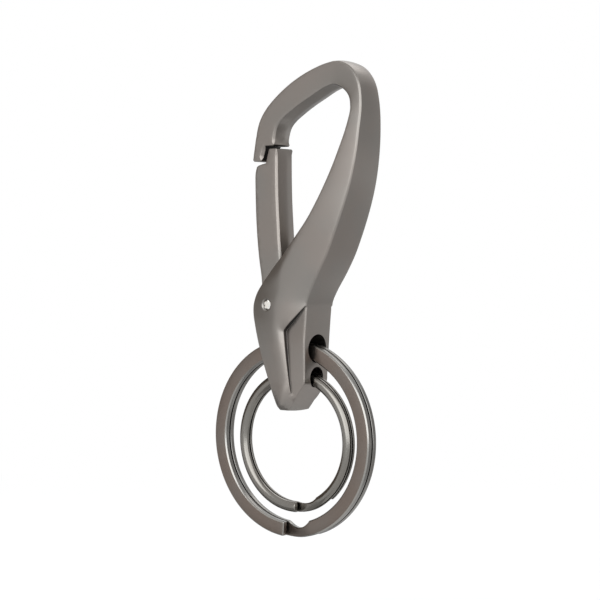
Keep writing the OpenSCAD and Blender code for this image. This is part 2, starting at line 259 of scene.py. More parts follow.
def makeMetal(name, finish):
    material = bpy.data.materials.new(name)
    nodes = Nodes(material)
    place = nodes.add("ShaderNodeTexCoord", output="Object")

    def noise(size, detail):
        sockets = {"Vector": place, "Scale": finish[size], "Detail": detail}
        return nodes.add("ShaderNodeTexNoise", None, sockets)

    patches = noise("patches", metalNoise["detail"])
    clouds = noise("clouds", metalNoise["cloudDetail"])
    grain = noise("grain", metalNoise["detail"])
    tones = patches.between(metalNoise["toneLow"], metalNoise["toneHigh"])
    colour = nodes.mixed(tones, finish["warm"], finish["cool"])
    middle, spread = metalNoise["middle"], finish["roughnessSpread"]
    roughness = finish["roughness"] + (clouds - middle) * spread + (grain - middle) * spread
    height = {"Strength": metalNoise["bump"], "Distance": finish["grainHeight"], "Height": grain}
    bump = nodes.add("ShaderNodeBump", None, height)
    sockets = {"Metallic": 1.0, "Base Color": colour, "Roughness": roughness, "Normal": bump}
    nodes.surface(nodes.add("ShaderNodeBsdfPrincipled", None, sockets))
    return material


castMetal = makeMetal("satin_gunmetal", gunmetal)
ringMetal = makeMetal("ring_gunmetal", ringFinish)
pinSteel = makeMetal("bright_steel", pinFinish)
springSteel = makeMetal("drawn_spring_steel", springFinish)
smallRingMetal = makeMetal("small_ring_gunmetal", smallRingFinish)
ringEdgeMetal = makeMetal("rubbed_ring_gunmetal", ringEdgeFinish)
ringBevelMetal = makeMetal("ring_bevel_gunmetal", ringBevelFinish)
# A dark metal that paints shade into the latch's notch, the gate's tongue and the panel's wall
paintedShadeMetal = makeMetal("painted_shade_gunmetal", paintedShadeFinish)
print("Metals made")


# How meshes are made: edges sharper than sharpAngle stay sharp, and points nearer than weld are joined.
# The grid on a face has rows at rowShare of its spacing, and stays clear of the lines by clearShare of it.
meshing = {
    "sharpAngle": 35,
    "weld": 0.0005 * mm,
    "cutterSides": 96,
    "rowShare": 0.866,
    "clearShare": 0.45,
    "tolerance": 1e-5,
    "sideSteps": 12,
    "ridgeRound": 0.12,
    "leastSquare": 1e-18,
    "leastRoll": 1e-9,
}


def makeObject(name, points, faces, material):
    mesh = bpy.data.meshes.new(name)
    mesh.from_pydata([tuple(p) for p in points], [], [tuple(f) for f in faces])
    tidy = bmesh.new()
    tidy.from_mesh(mesh)
    bmesh.ops.remove_doubles(tidy, verts=tidy.verts, dist=meshing["weld"])
    bmesh.ops.dissolve_degenerate(tidy, edges=tidy.edges, dist=meshing["weld"])
    bmesh.ops.recalc_face_normals(tidy, faces=tidy.faces)
    tidy.to_mesh(mesh)
    tidy.free()
    piece = bpy.data.objects.new(name, mesh)
    bpy.context.collection.objects.link(piece)
    mesh.materials.append(material)
    smoothShading(mesh)
    return piece


def smoothShading(mesh):
    mesh.shade_smooth()
    mesh.set_sharp_from_angle(angle=math.radians(meshing["sharpAngle"]))


# Gives one more metal to the faces that are chosen by their middle and normal
def finished(piece, metal, chosen):
    mesh = piece.data
    mesh.materials.append(metal)
    for face in mesh.polygons:
        if chosen(face.center, face.normal):
            face.material_index = len(mesh.materials) - 1


# Cuts the cutters out of a piece, one after the other, and removes them
def cutOut(piece, cutters):
    for cutter in cutters:
        cut = piece.modifiers.new("cut", "BOOLEAN")
        cut.operation = "DIFFERENCE"
        cut.solver = "EXACT"
        cut.object = cutter
    settled = piece.evaluated_get(bpy.context.evaluated_depsgraph_get())
    mesh = bpy.data.meshes.new_from_object(settled)
    piece.modifiers.clear()
    piece.data = mesh
    for cutter in cutters:
        bpy.data.objects.remove(cutter)
    smoothShading(mesh)


# A closed skin over rings of points, with flat ends
def loft(name, rings, material):
    count = len(rings[0])
    points = [p for ring in rings for p in ring]
    last = len(points) - count
    faces = []
    for low in range(0, last, count):
        high = low + count
        for k in range(count):
            after = (k + 1) % count
            faces.append((low + k, low + after, high + after, high + k))
    faces.append(range(count - 1, -1, -1))
    faces.append(range(last, len(points)))
    return makeObject(name, points, faces, material)


# The points of a circle round a middle, from the directions of two of its radii
def circle(middle, radius, aside, other, sides):
    turns = [2 * math.pi * k / sides for k in range(sides)]
    return [middle + radius * (math.cos(a) * aside + math.sin(a) * other) for a in turns]


# Cutters: round and flat-sided bars
def cylinder(name, start, end, radius):
    axis = (Vector(end) - Vector(start)).normalized()
    aside = axis.orthogonal().normalized()
    other = axis.cross(aside)
    sides = meshing["cutterSides"]
    rings = [circle(Vector(middle), radius, aside, other, sides) for middle in (start, end)]
    return loft(name, rings, castMetal)


def prism(name, outline, thickness):
    rings = [[(p[0], side * thickness / 2, p[1]) for p in outline] for side in (-1, 1)]
    return loft(name, rings, castMetal)


# Plane curves: arrays of points across and up
def unit(v):
    return v / np.linalg.norm(v)


# A corner between two straight edges, as the points of an arc
def rounded(before, corner, after, radius, steps=8):
    into = unit(np.subtract(before, corner))
    outOf = unit(np.subtract(after, corner))
    half = math.acos(max(-1, min(1, float(into @ outOf)))) / 2
    reach = radius / math.tan(half)
    middle = corner + unit(into + outOf) * radius / math.sin(half)
    start = corner + into * reach - middle
    end = corner + outOf * reach - middle
    sweep = math.atan2(start[0] * end[1] - start[1] * end[0], float(start @ end))
    points = []
    for k in range(steps + 1):
        a = sweep * k / steps
        c, s = math.cos(a), math.sin(a)
        points.append(middle + np.array([start[0] * c - start[1] * s, start[0] * s + start[1] * c]))
    return np.array(points)


# A smooth curve through rows of values, with so many steps from each row to the next
def smoothRows(rows, steps):
    rows = np.array(rows, float)
    last = len(rows) - 1
    found = []
    for i in range(last):
        a, b, c, d = (rows[min(max(i + k, 0), last)] for k in (-1, 0, 1, 2))
        for k in range(steps):
            t = k / steps
            bend = (2 * a - 5 * b + 4 * c - d) * t * t / 2 + (3 * b - a - 3 * c + d) * t ** 3 / 2
            found.append(b + (c - a) * t / 2 + bend)
    found.append(rows[last])
    return np.array(found)


# For each point of an outline, the step to the same corner of an outline one unit further in
def inwardNormals(outline):
    before = outline - np.roll(outline, 1, axis=0)
    after = np.roll(outline, -1, axis=0) - outline
    sides = []
    for edge in (before, after):
        edge = edge / np.linalg.norm(edge, axis=1)[:, None]
        sides.append(np.stack([edge[:, 1], -edge[:, 0]], axis=1))
    mean = sides[0] + sides[1]
    return mean / (1 + np.sum(sides[0] * sides[1], axis=1))[:, None]


# Whether points lie inside a polygon
def insidePolygon(points, polygon):
    x, z = points[:, 0][:, None], points[:, 1][:, None]
    x0, z0 = polygon[:, 0], polygon[:, 1]
    x1, z1 = np.roll(x0, -1), np.roll(z0, -1)
    crosses = (z0 > z) != (z1 > z)
    with np.errstate(divide="ignore", invalid="ignore"):
        at = (x1 - x0) * (z - z0) / (z1 - z0) + x0
    return (np.sum(crosses & (x < at), axis=1) % 2) == 1


# Distance from points to a line of straight stretches
def distanceTo(points, line, closed=False):
    ends = np.roll(line, -1, axis=0) if closed else line[1:]
    starts = line if closed else line[:-1]
    best = np.full(len(points), np.inf)
    for a, b in zip(starts, ends):
        edge = b - a
        share = np.clip(((points - a) @ edge) / max(edge @ edge, meshing["leastSquare"]), 0, 1)
        best = np.minimum(best, np.linalg.norm(points - (a + share[:, None] * edge), axis=1))
    return best


# Corner profile from the face to the side: how far in from the edge, and how far below the face.
# softness is the radius of its two rounded shoulders, as a share of the bevel.
def edgeProfile(bevel, softness):
    face = rounded((2, 0), np.array([1.0, 0.0]), (0, 1), softness, 2)
    side = rounded((1, 0), np.array([0.0, 1.0]), (0, 2), softness, 2)
    return np.concatenate([face, side]) * bevel


# A flat face as triangles: its rim, the curves and loops that the mesh follows, and a grid in between
def faceMesh(rim, curves, loops, hole, spacing, heightAt):
    points = [rim]
    edges = [(i, (i + 1) % len(rim)) for i in range(len(rim))]
    total = len(rim)
    keepClear = [(rim, True)]
    for curve in curves:
        points.append(curve[:-1])
        chain = list(range(total, total + len(curve) - 1))
        total += len(curve) - 1
        chain.append(int(np.argmin(np.linalg.norm(rim - curve[-1], axis=1))))
        edges += list(zip(chain[:-1], chain[1:]))
        keepClear.append((curve, False))
    for loop in loops:
        points.append(loop)
        edges += [(total + i, total + (i + 1) % len(loop)) for i in range(len(loop))]
        total += len(loop)
        keepClear.append((loop, True))
    low, high = rim.min(axis=0), rim.max(axis=0)
    grid = []
    for j, z in enumerate(np.arange(low[1], high[1], spacing * meshing["rowShare"])):
        row = np.arange(low[0] + (j % 2) * spacing / 2, high[0], spacing)
        grid.append(np.stack([row, np.full(len(row), z)], axis=1))
    grid = np.concatenate(grid)
    grid = grid[insidePolygon(grid, rim)]
    for line, closed in keepClear:
        grid = grid[distanceTo(grid, line, closed) > spacing * meshing["clearShare"]]
    if hole is not None:
        grid = grid[~insidePolygon(grid, hole)]
    points.append(grid)
    flat = [Vector(p / mm) for p in np.concatenate(points)]
    found = delaunay_2d_cdt(flat, edges, [], 0, meshing["tolerance"])
    places = np.array([tuple(p) for p in found[0]]) * mm
    triangles = np.array(found[2])
    centres = places[triangles].mean(axis=1)
    keep = insidePolygon(centres, rim)
    if hole is not None:
        keep &= ~insidePolygon(centres, hole)
    triangles = triangles[keep]
    source = {}
    for index, origins in enumerate(found[3]):
        for origin in origins:
            source[origin] = index
    return places, triangles, source, heightAt(places)


# A body seen from the front as an outline, the same front and back: a face that follows heightAt, a bevel
# round it, and sides with a rib of height crowns[i], sharp where ribs[i] is 1 and round where it is 0.
# curves and loops are lines on the face that the mesh follows, and hole, the last loop, is the bore's edge.
def shell(name, edge, heightAt, softness, spacing, curves=(), loops=(), hole=None):
    outline, crowns, ribs, bevels = edge
    inward = inwardNormals(outline)
    profile = edgeProfile(1, softness)
    rim = outline + inward * bevels[:, None] * profile[0][0]
    places, triangles, source, heights = faceMesh(rim, curves, loops, hole, spacing, heightAt)
    count = len(outline)
    rimIndex = np.array([source[i] for i in range(count)])
    rimHeights = heights[rimIndex]
    points = [(x, -h, z) for (x, z), h in zip(places, heights)]
    faces = [tuple(t) for t in triangles]
    frontRings = [rimIndex]
    for reach, drop in profile[1:]:
        start = len(points)
        ring = outline + inward * bevels[:, None] * reach
        points += [(p[0], drop * b - h, p[1]) for p, h, b in zip(ring, rimHeights, bevels)]
        frontRings.append(np.arange(start, start + count))
    edgeHeights = rimHeights - profile[-1][1] * bevels
    outward = -inward / np.linalg.norm(inward, axis=1)[:, None]
    sideRings = []
    steps, blunt = meshing["sideSteps"], meshing["ridgeRound"]
    for k in range(1, steps):
        t = 2 * k / steps - 1
        ridge = math.hypot(1, blunt) - math.hypot(t, blunt)
        swell = crowns * (ribs * ridge / (math.hypot(1, blunt) - blunt) + (1 - ribs) * (1 - t * t))
        ring = outline + outward * swell[:, None]
        start = len(points)
        points += [(p[0], t * h, p[1]) for p, h in zip(ring, edgeHeights)]
        sideRings.append(np.arange(start, start + count))
    # The back is the front seen in a mirror
    frontTotal = sum(len(r) for r in frontRings[1:]) + len(places)
    backStart = len(points)
    points += [(x, -y, z) for x, y, z in points[:frontTotal]]
    faces += [tuple(backStart + i for i in reversed(t)) for t in triangles]
    backRings = [ring + backStart for ring in frontRings]
    chain = frontRings + sideRings + backRings[::-1]
    for low, high in zip(chain[:-1], chain[1:]):
        for k in range(count):
            after = (k + 1) % count
            faces.append((low[k], low[after], high[after], high[k]))
    if hole is not None:
        first = len(rim) + sum(len(c) - 1 for c in curves) + sum(len(loop) for loop in loops) - len(hole)
        bore = [source[first + i] for i in range(len(hole))]
        for k in range(len(bore)):
            after = (k + 1) % len(bore)
            faces.append((bore[k], bore[after], bore[after] + backStart, bore[k] + backStart))
    return makeObject(name, points, faces, castMetal)


# The cast body. Lengths are real, and shares are of the clip's width and height.
clip = {
    "height": 60.7 * mm,
    "width": 24.3 * mm,
    "hookThick": 4.6 * mm,
    "bladeThick": 9.4 * mm,
    "panelThick": 7.26 * mm,
    "panelTaper": 0.66 * mm,
    "seatShares": (0.734, 0.934),
    "innerCrown": 0.3 * mm,
    "outerCrown": 0.15 * mm,
    "bevelSoftness": 0.3,
    "lipBevel": 0.5 * mm,
    "notchBevel": 0.12 * mm,
    "latchGap": 1.05 * mm,
    "tipGap": 0.48 * mm,
    "shoulderGap": 0.36 * mm,
    "lipRound": 0.42 * mm,
    "notchRound": 0.12 * mm,
    "noseRound": 0.4 * mm,
    "crownFade": 1.2 * mm,
    "rowSteps": 8,
    "innerPower": 1.35,
    "outerPower": 1.5,
    "faceSpacing": 0.5 * mm,
    "edgeSpacing": 0.4 * mm,
    "topRoom": 0.005 * mm,
    "sideRoom": 0.002 * mm,
    "tongueFootShare": 0.105,
    "tongueTipShares": (0.137, 0.7622),
    "footRise": 0.05,
    "noseRows": 20,
    "cornerRoom": 1.05,
    "notchSteps": 4,
    "bevelFade": 0.25,
}
# Along the strip, from the nose over the top and down the spine to the tail. Each row: inner edge across and
# up, outer edge across and up, thickness at the inner edge, at the crown and at the outer edge, and the
# crown's place across. Thickness runs from 0, the hook's, to 1, the blade's.
stripShares = [
    (0.177, 0.7254, -0.017, 0.7254, 0, 0, 0, 0.5),
    (0.179, 0.743, -0.011, 0.743, 0, 0, 0, 0.5),
    (0.183, 0.761, -0.004, 0.759, 0, 0, 0, 0.5),
    (0.189, 0.793, 0.012, 0.794, 0, 0, 0, 0.5),
    (0.211, 0.8235, 0.042, 0.838, 0, 0, 0, 0.5),
    (0.261, 0.8455, 0.105, 0.876, 0, 0, 0, 0.5),
    (0.342, 0.8665, 0.209, 0.913, 0, 0, 0, 0.5),
    (0.433, 0.8865, 0.334, 0.946, 0, 0, 0, 0.5),
    (0.525, 0.904, 0.462, 0.971, 0, 0, 0, 0.5),
    (0.617, 0.9215, 0.59, 0.989, 0, 0, 0, 0.5),
    (0.689, 0.931, 0.689, 0.998, 0.01, 0.01, 0.01, 0.5),
    (0.734, 0.934, 0.775, 1, 0.02, 0.02, 0.02, 0.3),
    (0.797, 0.925, 0.865, 0.986, 0.05, 0.06, 0.04, 0.2),
    (0.847, 0.911, 0.93, 0.962, 0.1, 0.11, 0.08, 0.1),
    (0.88, 0.894, 0.971, 0.931, 0.16, 0.17, 0.14, 0.1),
    (0.895, 0.874, 0.99, 0.894, 0.23, 0.25, 0.19, 0.1),
    (0.898, 0.85, 0.996, 0.852, 0.33, 0.35, 0.27, 0.08),
    (0.868, 0.8, 0.988, 0.8, 0.5, 0.51, 0.41, 0.06),
    (0.822, 0.75, 0.976, 0.75, 0.62, 0.63, 0.49, 0.05),
    (0.77, 0.7, 0.956, 0.7, 0.73, 0.74, 0.57, 0.05),
    (0.709, 0.65, 0.928, 0.65, 0.83, 0.84, 0.64, 0.05),
    (0.64, 0.6, 0.889, 0.6, 0.93, 0.94, 0.71, 0.05),
    (0.556, 0.55, 0.842, 0.55, 0.97, 0.99, 0.77, 0.06),
    (0.448, 0.5, 0.79, 0.5, 0.95, 1, 0.8, 0.1),
    (0.333, 0.45, 0.733, 0.45, 0.88, 1, 0.81, 0.17),
    (0.205, 0.4, 0.66, 0.4, 0.75, 1, 0.8, 0.28),
    (0.087, 0.35, 0.583, 0.35, 0.62, 0.95, 0.69, 0.46),
    (0.043, 0.315, 0.541, 0.315, 0.6, 0.95, 0.63, 0.48),
    (0.035, 0.285, 0.531, 0.285, 0.6, 0.96, 0.68, 0.48),
    (0.05, 0.25, 0.523, 0.25, 0.62, 0.97, 0.68, 0.48),
    (0.08, 0.2, 0.513, 0.2, 0.61, 0.96, 0.66, 0.52),
    (0.115, 0.15, 0.509, 0.15, 0.56, 0.91, 0.63, 0.56),
    (0.152, 0.105, 0.505, 0.105, 0.5, 0.84, 0.54, 0.56),
    (0.165, 0.09, 0.503, 0.09, 0.48, 0.81, 0.56, 0.55),
    (0.176, 0.078, 0.495, 0.078, 0.46, 0.79, 0.54, 0.54),
    (0.193, 0.058, 0.456, 0.058, 0.43, 0.76, 0.5, 0.53),
    (0.212, 0.03, 0.4, 0.03, 0.26, 0.68, 0.4, 0.5),
    (0.229, 0.012, 0.364, 0.012, 0.15, 0.57, 0.3, 0.5),
    (0.262, 0.001, 0.342, 0.001, 0.08, 0.46, 0.22, 0.45),
]
# The sunk panel: its edge on the blade, from its upper right end over its corner to its lower end, the
# blade's right side beside it, and the lines that carry both on past the casting
panel = {
    "edgeShares": [(0.62, 0.3386), (0.338, 0.233), (0.383, 0.05)],
    "sideShares": [(0.456, 0.058), (0.503, 0.09), (0.513, 0.2), (0.541, 0.315), (0.583, 0.35)],
    "beyondShares": [(0.4, -0.05), (1.2, -0.05), (1.2, 0.3386)],
    "domeEndShares": [(0.4, -0.01)],
    "floorShares": (0.2, 0.09),
    "cornerRound": 0.6 * mm,
    "tiltShares": (0.231, 0.09),
    "floorTilts": (0.07, -0.035),
    "tiltWide": 4.5 * mm,
    "domeWide": 2.4 * mm,
    "domeRadius": 7.5 * mm,
    "roll": 0.13 * mm,
    "wall": 0.05 * mm,
    "foot": 0.09 * mm,
    "footRise": 0.06 * mm,
    "mostTaper": 1.5,
    "mostRoll": 0.9,
    "rollSteps": (1.3, 1, 0.75, 0.5, 0.3, 0.14, 0.04, 0),
    "floorStep": 2.2,
    "rimClear": 0.06 * mm,
    "cornerSteps": 6,
    "pointSpacing": 0.3 * mm,
    "finerShares": (0.28, 0.34),
    "finerFrom": 0.5,
    "finerSteps": 4,
}
# The pin's bore and its countersink. loops are shares of the countersink's radius.
pinHole = {
    "countersink": 1.16 * mm,
    "bore": 0.88 * mm,
    "depth": 0.24 * mm,
    "straight": 0.75,
    "loops": [1.2, 1.05, 1.0, 0.94, 0.87, 0.81],
    "sides": 64,
}


# A place on the front from its shares of the clip's width and height
def spot(shares):
    seat = clip["seatShares"]
    return np.array([
        (shares[0] - seat[0]) * clip["width"],
        (shares[1] - seat[1]) * clip["height"] + clip["innerCrown"],
    ])


def spots(shares):
    return np.array([spot(s) for s in shares])


strip = smoothRows(stripShares, clip["rowSteps"])
stripInner = spots(strip[:, 0:2])
stripTop = cadHigh.z - clip["outerCrown"] - clip["topRoom"]
stripOuter = np.minimum(spots(strip[:, 2:4]), (cadHigh.x, stripTop))
pinLow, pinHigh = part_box("pivot_pin")
pinAt = np.array([(pinLow.x + pinHigh.x) / 2, (pinLow.z + pinHigh.z) / 2])


# Where points lie on the strip: row number, with its fraction, and how far across. A point takes the stretch
# of the strip that it lies in, and missCost keeps it from the others.
missCost = 10


def onStrip(points):
    edge = stripOuter - stripInner
    towards = points[:, None, :] - stripInner[None, :, :]
    turned = towards[:, :, 0] * edge[:, 1] - towards[:, :, 1] * edge[:, 0]
    crosses = (turned[:, :-1] > 0) != (turned[:, 1:] > 0)
    gap = turned[:, :-1] - turned[:, 1:]
    share = np.where(crosses, turned[:, :-1] / np.where(gap == 0, 1, gap), 0)
    inner = stripInner[:-1] + (stripInner[1:] - stripInner[:-1]) * share[:, :, None]
    width = edge[:-1] + (edge[1:] - edge[:-1]) * share[:, :, None]
    reach = np.sum((points[:, None, :] - inner) * width, axis=2) / np.sum(width * width, axis=2)
    missed = missCost + np.linalg.norm(towards[:, :-1], axis=2) / clip["height"]
    best = np.argmin(np.where(crosses, np.abs(reach - 0.5), missed), axis=1)
    rows = np.arange(len(points))
    return best + share[rows, best], np.clip(reach[rows, best], 0, 1)


def halfThickness(share):
    return (clip["hookThick"] + (clip["bladeThick"] - clip["hookThick"]) * share) / 2


# Half the casting's thickness where points lie on the strip, worked out for some points at a time
pointsAtOnce = 2000


def bladeHeight(points):
    found = []
    for part in np.array_split(points, max(1, len(points) // pointsAtOnce)):
        row, u = onStrip(part)
        low = np.minimum(row.astype(int), len(strip) - 2)
        share = (row - low)[:, None]
        inner, crown, outer, place = (strip[low, 4:8] * (1 - share) + strip[low + 1, 4:8] * share).T
        before = crown - (crown - inner) * np.clip((place - u) / place, 0, 1) ** clip["innerPower"]
        beyond = crown - (crown - outer) * np.clip((u - place) / (1 - place), 0, 1) ** clip["outerPower"]
        found.append(halfThickness(np.where(u < place, before, beyond)))
    return np.minimum(np.concatenate(found), cadHigh.y - clip["sideRoom"])


panelEnds = spots(panel["edgeShares"])
panelLine = np.concatenate([
    [panelEnds[0]],
    rounded(panelEnds[0], panelEnds[1], panelEnds[2], panel["cornerRound"], panel["cornerSteps"]),
    [panelEnds[2]],
])
panelSide = spots(panel["sideShares"])
panelBeyond = spots(panel["beyondShares"])
panelArea = np.concatenate([panelLine, panelBeyond])


# Distance from the panel's edge, above zero inside the panel
def panelDistance(points):
    away = distanceTo(points, np.concatenate([panelLine, panelBeyond[:1]]))
    return np.where(insidePolygon(points, panelArea), away, -away)


# Half the casting's thickness with the panel and the countersink sunk in. The blade is domed beside the
# panel's edge, and the casting gets thinner under the panel towards the tip.
def bodyHeight(points):
    height = bladeHeight(points)
    fromWall = distanceTo(points, np.concatenate([panelEnds[1:], spots(panel["domeEndShares"])]))
    height = height - np.maximum(panel["domeWide"] - fromWall, 0) ** 2 / (2 * panel["domeRadius"])
    upper, lower = (spot((0, share))[1] for share in panel["floorShares"])
    taper = np.clip((upper - points[:, 1]) / (upper - lower), 0, panel["mostTaper"])
    right = np.interp(points[:, 1], panelSide[:, 1], panelSide[:, 0])
    floor = (clip["panelThick"] - clip["panelTaper"] * taper) / 2
    first, last = (spot((0, share))[1] for share in panel["tiltShares"])
    tilt = np.interp(points[:, 1], [last, first], panel["floorTilts"][::-1])
    floor = floor - tilt * np.clip(right - points[:, 0], 0, panel["tiltWide"])
    depth = np.maximum(height - floor, 0)
    away = panelDistance(points)
    roll = np.minimum(panel["roll"], depth * panel["mostRoll"] + meshing["leastRoll"])
    x = np.clip(1 + away / roll, 0, 1)
    outside = height - roll * (1 - np.sqrt(1 - x * x))
    foot = np.clip((away - panel["wall"]) / (panel["foot"] - panel["wall"]), 0, 1)
    top = height - roll
    rise = np.minimum(panel["footRise"], np.maximum(top - floor, 0))
    wall = top + (floor + rise - top) * np.clip(away / panel["wall"], 0, 1)
    inside = np.where(away < panel["wall"], wall, floor + rise * (1 - foot) ** 2)
    inside = np.where(depth > 0, np.minimum(inside, height), height)
    height = np.where(away > 0, inside, outside)
    fromPin = np.linalg.norm(points - pinAt, axis=1)
    sink = np.clip((pinHole["countersink"] - fromPin) / (pinHole["countersink"] - pinHole["bore"]), 0, 1)
    straight = pinHole["straight"]
    return height - pinHole["depth"] * (sink * straight + (1 - straight) * sink * sink)


# A line with its points about one spacing apart
def resampled(line, spacing):
    steps = np.linalg.norm(np.diff(line, axis=0), axis=1)
    along = np.concatenate([[0], np.cumsum(steps)])
    at = np.linspace(0, along[-1], max(2, int(round(along[-1] / spacing)) + 1))
    return np.stack([np.interp(at, along, line[:, 0]), np.interp(at, along, line[:, 1])], axis=1)


# A line moved sideways by one distance all along
def shifted(line, reach):
    edges = np.diff(line, axis=0)
    edges = edges / np.linalg.norm(edges, axis=1)[:, None]
    normals = np.stack([-edges[:, 1], edges[:, 0]], axis=1)
    first = np.concatenate([normals[:1], normals])
    second = np.concatenate([normals, normals[-1:]])
    mitre = (first + second) / (1 + np.sum(first * second, axis=1))[:, None]
    return line + mitre * reach


# Lines along the panel's edge that the mesh follows, from the lower end up to the rim of the face
def panelCurves(rim):
    base = resampled(panelLine, panel["pointSpacing"])
    roll, wall, foot = panel["roll"], panel["wall"], panel["foot"]
    reaches = [-roll * share for share in panel["rollSteps"]]
    reaches += [wall, (wall + foot) / 2, foot, foot * panel["floorStep"]]
    curves = []
    for reach in reaches:
        line = shifted(base, reach)[::-1]
        inside = insidePolygon(line, rim) & (distanceTo(line, rim, True) > panel["rimClear"])
        cut = len(line) if inside.all() else int(np.argmin(inside))
        end = line[min(cut, len(line) - 1)]
        nearest = rim[int(np.argmin(np.linalg.norm(rim - end, axis=1)))]
        curves.append(np.concatenate([line[:cut], [nearest]]))
    return curves


# Circles round the pin that the mesh follows, down to the bore's edge
def pinLoops():
    turns = 2 * math.pi * np.arange(pinHole["sides"]) / pinHole["sides"]
    turned = np.stack([np.cos(turns), np.sin(turns)], axis=1)
    loops = [pinAt + turned * pinHole["countersink"] * r for r in pinHole["loops"]]
    loops.append(pinAt + turned * pinHole["bore"])
    return loops


# The gate's tongue, which the nose's lip and notch are drawn round
tongueFoot = spot((clip["tongueFootShare"], 0))
shoulderTop = spot((0, stripShares[0][1]))[1] - clip["shoulderGap"]
tongueFoot[1] = shoulderTop + clip["footRise"] * clip["hookThick"]
tongueTip = spot(clip["tongueTipShares"])

# Bevels along the strip's inner and outer edge, and the height of the inner side's rib: row of stripShares,
# and millimetres
innerBevels = [(0, 0.4), (3, 0.4), (5.5, 0.12), (11, 0.12), (14, 0.22), (38, 0.22)]
outerBevels = [(0, 0.15), (10, 0.15), (14, 0.27), (24, 0.27), (27, 0.2), (32, 0.2), (34, 0.12), (38, 0.12)]
innerRibs = [(0, 0.42), (9, 0.45), (11, 0.3), (38, 0.3)]


def alongStrip(rows, table):
    return np.interp(rows, [row for row, size in table], [size * mm for row, size in table])


# The casting's outline: lip, outer side, inner side, nose, notch and the lip's right side
def bodyOutline():
    top = tongueTip[1] + clip["tipGap"]
    slope = (tongueTip[0] - tongueFoot[0]) / (tongueTip[1] - tongueFoot[1])
    lipBottom = stripOuter[0][1]

    def latchSide(z):
        return np.array([tongueFoot[0] - clip["latchGap"] + slope * (z - tongueFoot[1]), z])

    lipLeft = stripOuter[0]
    lipRight = latchSide(lipBottom)
    notch = latchSide(top)
    noseInner = stripInner[:clip["noseRows"]]
    nose = np.array([np.interp(top, noseInner[:, 1], noseInner[:, 0]), top])
    firstOuter = int(np.argmax(stripOuter[:, 1] > lipBottom + clip["lipRound"] * clip["cornerRoom"]))
    outer = stripOuter[firstOuter:]
    outerSizes = alongStrip(np.arange(firstOuter, len(stripOuter)) / clip["rowSteps"], outerBevels)
    firstInner = int(np.argmax(stripInner[:, 1] > top + clip["noseRound"] * clip["cornerRoom"]))
    inner = stripInner[firstInner:][::-1]
    rows = np.arange(firstInner, len(stripInner))[::-1] / clip["rowSteps"]
    innerSizes = alongStrip(rows, innerBevels)
    innerCrowns = alongStrip(rows, innerRibs)
    lipCorner = rounded(lipRight, lipLeft, outer[0], clip["lipRound"])
    noseCorner = rounded(inner[-1], nose, notch, clip["noseRound"])
    notchCorner = rounded(nose, notch, lipRight, clip["notchRound"], clip["notchSteps"])
    lipTip = rounded(notch, lipRight, lipLeft, clip["lipRound"])
    straight = resampled(np.array([noseCorner[-1], notchCorner[0]]), clip["edgeSpacing"])[1:-1]
    latch = resampled(np.array([notchCorner[-1], lipTip[0]]), clip["edgeSpacing"])[1:-1]
    small = clip["notchBevel"]
    return joined([
        (lipCorner[1:], 0, 0, small), (outer[1:], clip["outerCrown"], 0, outerSizes[1:]),
        (inner, innerCrowns, 1, innerSizes), (noseCorner, 0, 1, small), (straight, 0, 0, small),
        (notchCorner, 0, 0, small), (latch, 0, 0, clip["lipBevel"]), (lipTip, 0, 0, small),
    ])


# Joins the stretches of an outline: points, crown, how sharp the crown's rib is, and bevel
def joined(parts):
    columns = [np.concatenate([part[0] for part in parts])]
    for k in (1, 2, 3):
        columns.append(np.concatenate([np.broadcast_to(np.array(p[k], float), len(p[0])) for p in parts]))
    return columns


# More points on the outline where the panel's edge runs out to it
def refined(edge):
    outline = edge[0]
    low, high = (spot((0, share))[1] for share in panel["finerShares"])
    right = spot((panel["finerFrom"], 0))[0]
    columns = [[], [], [], []]
    for i in range(len(outline)):
        after = (i + 1) % len(outline)
        inPlace = low < outline[i][1] < high and outline[i][0] > right
        steps = panel["finerSteps"] if inPlace else 1
        for k in range(steps):
            for column, values in zip(columns, edge):
                column.append(values[i] * (1 - k / steps) + values[after] * k / steps)
    return [np.array(column) for column in columns]


# The rib on each side fades out towards the corners, and bevels change size over a short stretch
def softened(edge, fade):
    outline, crowns, ribs, bevels = edge
    gaps = np.linalg.norm(np.roll(outline, -1, axis=0) - outline, axis=1)
    along = np.concatenate([[0], np.cumsum(gaps)])
    length = along[-1]
    along = along[:-1]
    apart = np.abs(along[:, None] - along[None, :])
    apart = np.minimum(apart, length - apart)
    share = np.clip(apart[:, crowns == 0].min(axis=1) / fade, 0, 1)
    weights = np.exp(-(apart / (fade * clip["bevelFade"])) ** 2) * gaps
    return [outline, crowns * share * share * (3 - 2 * share), ribs, weights @ bevels / weights.sum(axis=1)]


def makeBody():
    edge = softened(refined(bodyOutline()), clip["crownFade"])
    softness = clip["bevelSoftness"]
    rim = edge[0] + inwardNormals(edge[0]) * edge[3][:, None] * edgeProfile(1, softness)[0][0]
    loops = pinLoops()
    curves = panelCurves(rim)
    body = shell("body_casting", edge, bodyHeight, softness, clip["faceSpacing"], curves, loops, loops[-1])
    print("Body skin:", len(body.data.polygons), "faces")
    return body


